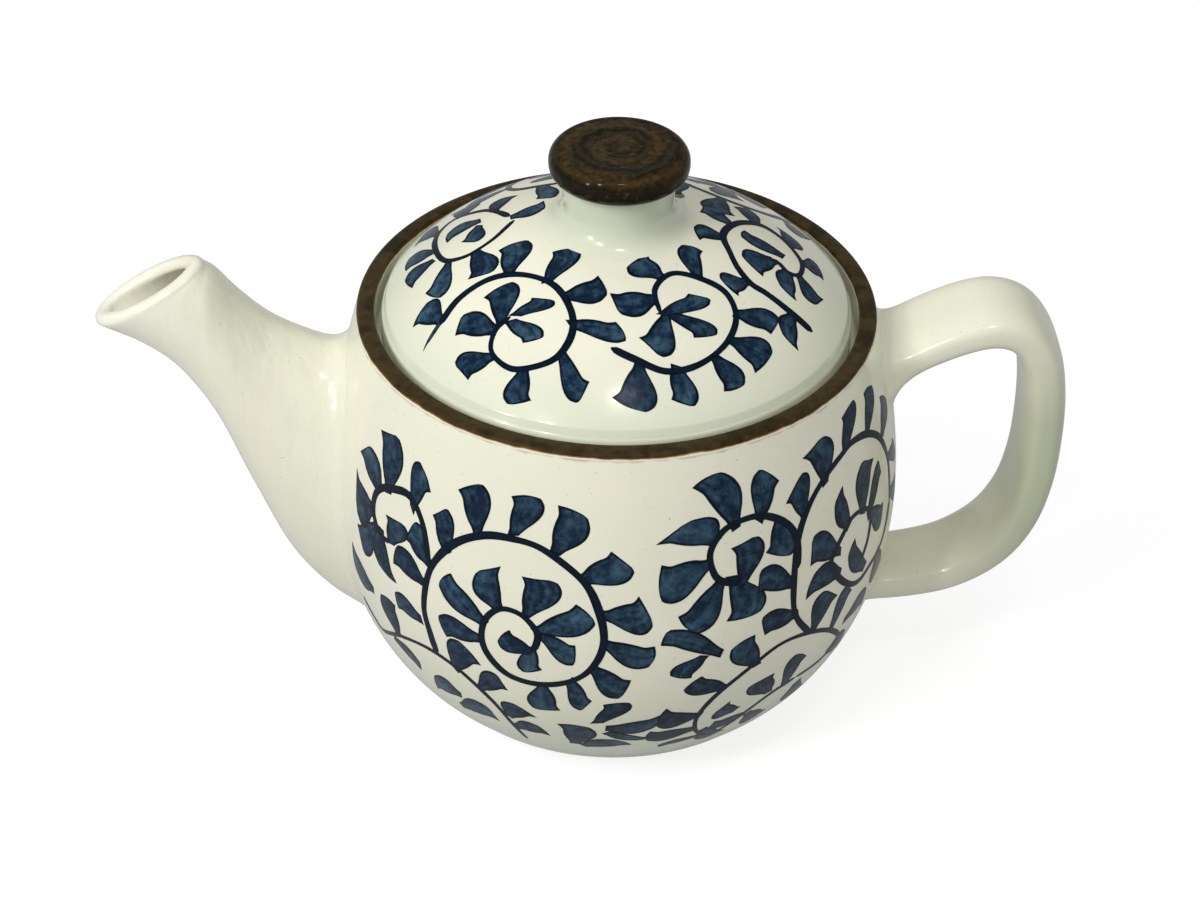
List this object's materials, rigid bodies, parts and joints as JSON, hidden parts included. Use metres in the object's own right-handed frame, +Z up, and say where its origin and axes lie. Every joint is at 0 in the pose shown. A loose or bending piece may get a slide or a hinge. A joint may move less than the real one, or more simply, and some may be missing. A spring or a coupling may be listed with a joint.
{
  "type": "teapot",
  "caption": "Round lidded teapot with a side spout, a strap handle opposite it, a hanging strainer basket and a domed lid with a disc knob.",
  "frame": {"origin": "centre of the foot ring's resting plane, on the pot's axis", "axes": "+Z up along the pot's axis; the handle is at +X and the spout at -X"},
  "size_m": [0.1804, 0.108, 0.1141],
  "materials": {
    "porcelain_glaze": "gloss",
    "biscuit": "matte",
    "iron_glaze": "gloss",
    "painted_blue": "gloss",
    "steel": "satin"
  },
  "bodies": {
    "pot": {"vessel": "porcelain_glaze", "foot_ring": "biscuit", "rim_band": "iron_glaze", "spout": "porcelain_glaze", "handle": "porcelain_glaze"},
    "basket": {"basket_rim": "steel", "basket_wall": "steel", "basket_hoop": "steel", "basket_base": "steel"},
    "lid": {"lid_dome": "porcelain_glaze", "lid_skirt": "porcelain_glaze", "knob": "iron_glaze"}
  },
  "joints": [
    {"name": "basket_lift", "type": "slide", "parent": "pot", "child": "basket", "axis": [0, 0, 1], "range_m": [0, 0.085]},
    {"name": "lid_lift", "type": "slide", "parent": "basket", "child": "lid", "axis": [0, 0, 1], "range_m": [0, 0.045]}
  ]
}
